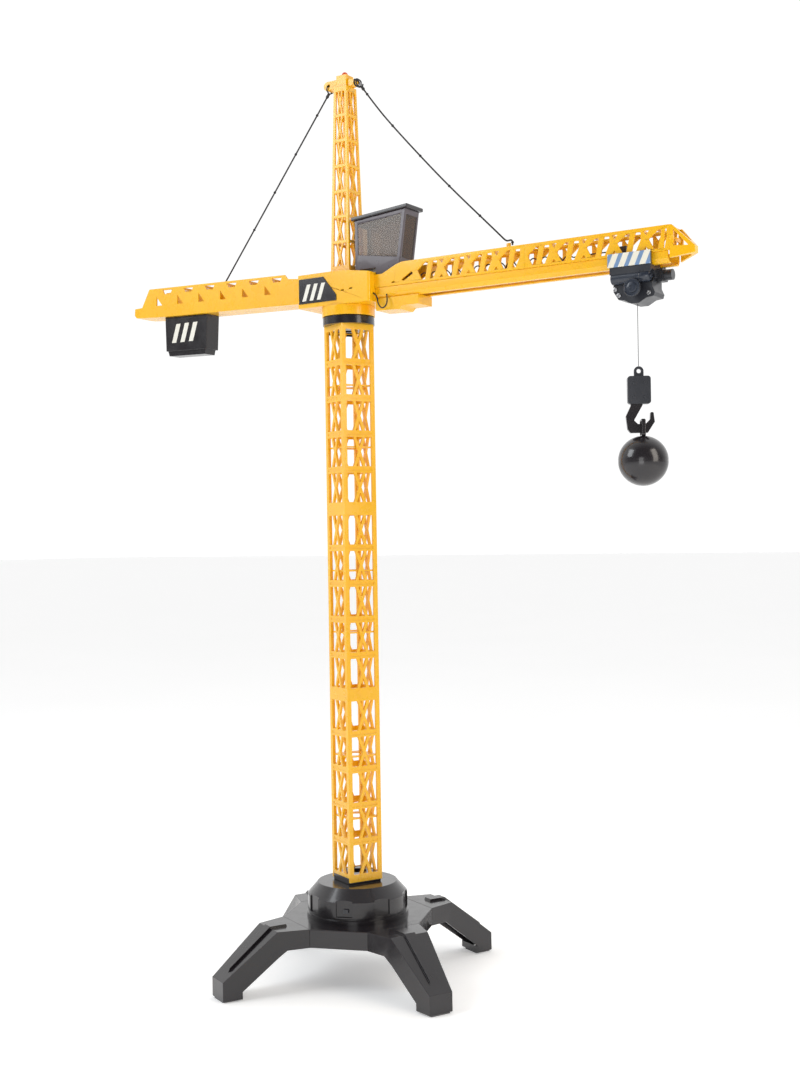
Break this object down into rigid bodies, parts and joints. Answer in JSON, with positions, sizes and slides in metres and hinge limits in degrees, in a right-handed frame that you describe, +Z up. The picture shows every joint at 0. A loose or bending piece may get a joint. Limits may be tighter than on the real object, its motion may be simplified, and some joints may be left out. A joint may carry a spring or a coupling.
{
  "type": "toy tower crane",
  "caption": "Yellow toy tower crane on a black four-legged stand, with lattice mast, slewing jib and counter-jib, cab, trolley, hoist hook and a black wrecking ball.",
  "frame": {"origin": "point of the floor under the slewing axis", "axes": "+Z up along the mast, +X along the jib at rest, +Y to the left of someone looking along the jib"},
  "size_m": [0.8643, 0.3854, 1.22],
  "materials": {
    "yellow_plastic": "gloss",
    "black_plastic": "gloss",
    "dark_plastic": "satin",
    "cab_frame_plastic": "satin",
    "smoked_glazing": "clear",
    "red_lens": "clear",
    "rubber": "matte",
    "gear_plastic": "satin",
    "steel": "satin",
    "cell_jacket": "satin",
    "board": "satin",
    "cord_black": "matte",
    "cable_jacket": "satin",
    "stripe_white": "gloss",
    "ballast_weight": "matte"
  },
  "bodies": {
    "stand": {"leg_front": "black_plastic", "leg_right": "black_plastic", "leg_rear": "black_plastic", "leg_left": "black_plastic", "foot_pads": "rubber", "base_plate": "black_plastic", "hub_dome": "black_plastic", "battery_box": "dark_plastic", "battery_door": "black_plastic", "batteries": "cell_jacket", "base_screws": "steel", "mast_section_lower": "yellow_plastic", "mast_section_middle": "yellow_plastic", "mast_section_upper": "yellow_plastic", "mast_socket": "black_plastic", "slew_ring": "black_plastic", "slew_gear": "gear_plastic"},
    "switch": {"power_switch": "dark_plastic"},
    "upper_works": {"slew_motor": "dark_plastic", "turret_neck": "yellow_plastic", "turret_housing_left": "yellow_plastic", "turret_housing_right": "yellow_plastic", "emblem_plates": "black_plastic", "tower_head": "yellow_plastic", "crosshead": "yellow_plastic", "beacon_lens": "red_lens", "jib_section_inner": "yellow_plastic", "jib_section_outer": "yellow_plastic", "jib_rails": "yellow_plastic", "jib_nose": "yellow_plastic", "drive_box": "yellow_plastic", "receiver_board": "board", "cab_shell": "cab_frame_plastic", "cab_panes": "smoked_glazing", "cab_roof": "black_plastic", "counter_jib": "yellow_plastic", "counterweight": "black_plastic", "counterweight_lid": "black_plastic", "ballast": "ballast_weight", "rear_stay": "cord_black", "front_stay": "cord_black", "cable_loop": "cable_jacket", "trolley_cable_coil": "cable_jacket"},
    "pinion": {"slew_pinion": "gear_plastic"},
    "trolley": {"trolley_frame": "dark_plastic", "stripe_plates": "stripe_white", "hoist_gearbox": "dark_plastic", "hoist_motor": "dark_plastic", "travel_motor": "steel", "trolley_screws": "steel", "trolley_cable_lead": "cable_jacket", "hoist_string": "cord_black"},
    "axle_rear": {"wheel_axle_rear": "gear_plastic"},
    "axle_front": {"wheel_axle_front": "gear_plastic"},
    "drum": {"winch_drum": "gear_plastic"},
    "hook_assembly": {"hook_block": "black_plastic", "hook_rivets": "black_plastic", "hook": "black_plastic"},
    "ball": {"ball_loop": "black_plastic", "wrecking_ball": "black_plastic"}
  },
  "joints": [
    {"name": "slew", "type": "hinge", "parent": "stand", "child": "upper_works", "pos_m": [0, 0, 0.8], "axis": [0, 0, 1], "range_deg": [-170, 170]},
    {"name": "slew_pinion_spin", "type": "hinge", "parent": "upper_works", "child": "pinion", "pos_m": [-0.02115, 0, 0.893], "axis": [0, 0, 1], "range_deg": [-544.5, 544.5]},
    {"name": "trolley_travel", "type": "slide", "parent": "upper_works", "child": "trolley", "axis": [1, 0, 0], "range_m": [-0.24, 0.012], "deforming": ["trolley_cable_coil"]},
    {"name": "rear_wheels_spin", "type": "hinge", "parent": "trolley", "child": "axle_rear", "pos_m": [0.402, 0, 0.911], "axis": [0, 1, 0], "range_deg": [-3500, 200]},
    {"name": "front_wheels_spin", "type": "hinge", "parent": "trolley", "child": "axle_front", "pos_m": [0.436, 0, 0.911], "axis": [0, 1, 0], "range_deg": [-3500, 200]},
    {"name": "hoist", "type": "slide", "parent": "trolley", "child": "hook_assembly", "axis": [0, 0, 1], "range_m": [-0.6, 0.06], "deforming": ["hoist_string"]},
    {"name": "drum_spin", "type": "hinge", "parent": "trolley", "child": "drum", "pos_m": [0.4234, 0, 0.879], "axis": [0, 1, 0], "range_deg": [-900, 8000]},
    {"name": "ball_swing", "type": "hinge", "parent": "hook_assembly", "child": "ball", "pos_m": [0.42246, 0.002, 0.7186], "axis": [0.5, -0.866, 0], "range_deg": [-20, 20]},
    {"name": "power_switch_slide", "type": "slide", "parent": "stand", "child": "switch", "axis": [-0.9483, -0.3173, 0], "range_m": [0, 0.005]}
  ],
  "couplings": [
    {"joint": "slew_pinion_spin", "follows": "slew", "ratio": 3.2},
    {"joint": "rear_wheels_spin", "follows": "trolley_travel", "rad_per_m": 250},
    {"joint": "front_wheels_spin", "follows": "trolley_travel", "rad_per_m": 250},
    {"joint": "drum_spin", "follows": "hoist", "rad_per_m": -227.27}
  ]
}
